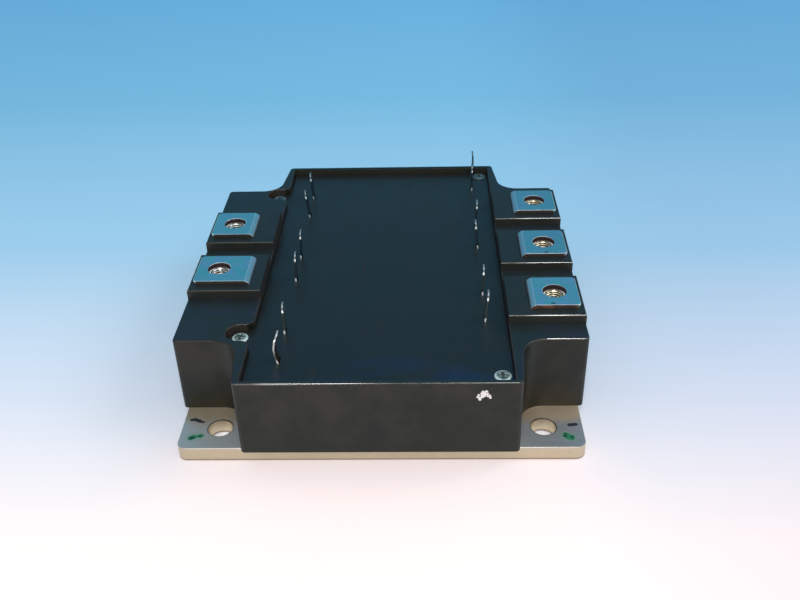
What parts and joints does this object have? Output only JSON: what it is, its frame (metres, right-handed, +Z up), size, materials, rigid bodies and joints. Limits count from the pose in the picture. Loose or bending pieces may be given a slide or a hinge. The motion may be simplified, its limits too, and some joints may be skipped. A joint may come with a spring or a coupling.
{
  "type": "igbt module",
  "caption": "Power semiconductor module with a metal base plate for a heat sink, bent screw terminals on raised pads along both sides and upright signal tabs through a sunken lid.",
  "frame": {"origin": "centre of the base plate's underside", "axes": "+X across the module to the side with three main terminals, +Y from the front end to the back end, +Z up from the base plate to the terminals"},
  "size_m": [0.1098, 0.1252, 0.0334],
  "materials": {
    "base_metal": "dull nickel plate on copper",
    "case_plastic": "moulded black, satin",
    "lid_plastic": "moulded black, gloss",
    "terminal_metal": "bright nickel plate",
    "nut_steel": "plated steel",
    "tab_metal": "bright tinned strip",
    "screw_steel": "zinc-plated steel",
    "ceramic": "white ceramic with copper tracks",
    "silicon": "polished silicon",
    "wire_metal": "drawn wire",
    "gel": "clear soft gel"
  },
  "bodies": {
    "root": {"base_plate": "base_metal", "bond_wires": "wire_metal", "case_frame": "case_plastic", "ceramic_substrate_back": "ceramic", "ceramic_substrate_front": "ceramic", "ceramic_substrate_middle": "ceramic", "diode_chip_1": "silicon", "diode_chip_2": "silicon", "diode_chip_3": "silicon", "diode_chip_4": "silicon", "diode_chip_5": "silicon", "diode_chip_6": "silicon", "lid_cover": "lid_plastic", "lid_screw_back_left": "screw_steel", "lid_screw_back_right": "screw_steel", "lid_screw_front_left": "screw_steel", "lid_screw_front_right": "screw_steel", "output_nut_back": "nut_steel", "output_nut_front": "nut_steel", "output_nut_middle": "nut_steel", "output_terminal_back": "terminal_metal", "output_terminal_front": "terminal_metal", "output_terminal_middle": "terminal_metal", "signal_tab_left_1": "tab_metal", "signal_tab_left_2": "tab_metal", "signal_tab_left_3": "tab_metal", "signal_tab_left_4": "tab_metal", "signal_tab_left_5": "tab_metal", "signal_tab_left_6": "tab_metal", "signal_tab_right_1": "tab_metal", "signal_tab_right_2": "tab_metal", "signal_tab_right_3": "tab_metal", "signal_tab_right_4": "tab_metal", "signal_tab_right_5": "tab_metal", "signal_tab_right_6": "tab_metal", "silicone_gel": "gel", "supply_nut_back": "nut_steel", "supply_nut_front": "nut_steel", "supply_terminal_back": "terminal_metal", "supply_terminal_front": "terminal_metal", "switch_chip_1": "silicon", "switch_chip_2": "silicon", "switch_chip_3": "silicon", "switch_chip_4": "silicon", "switch_chip_5": "silicon", "switch_chip_6": "silicon"}
  },
  "joints": []
}
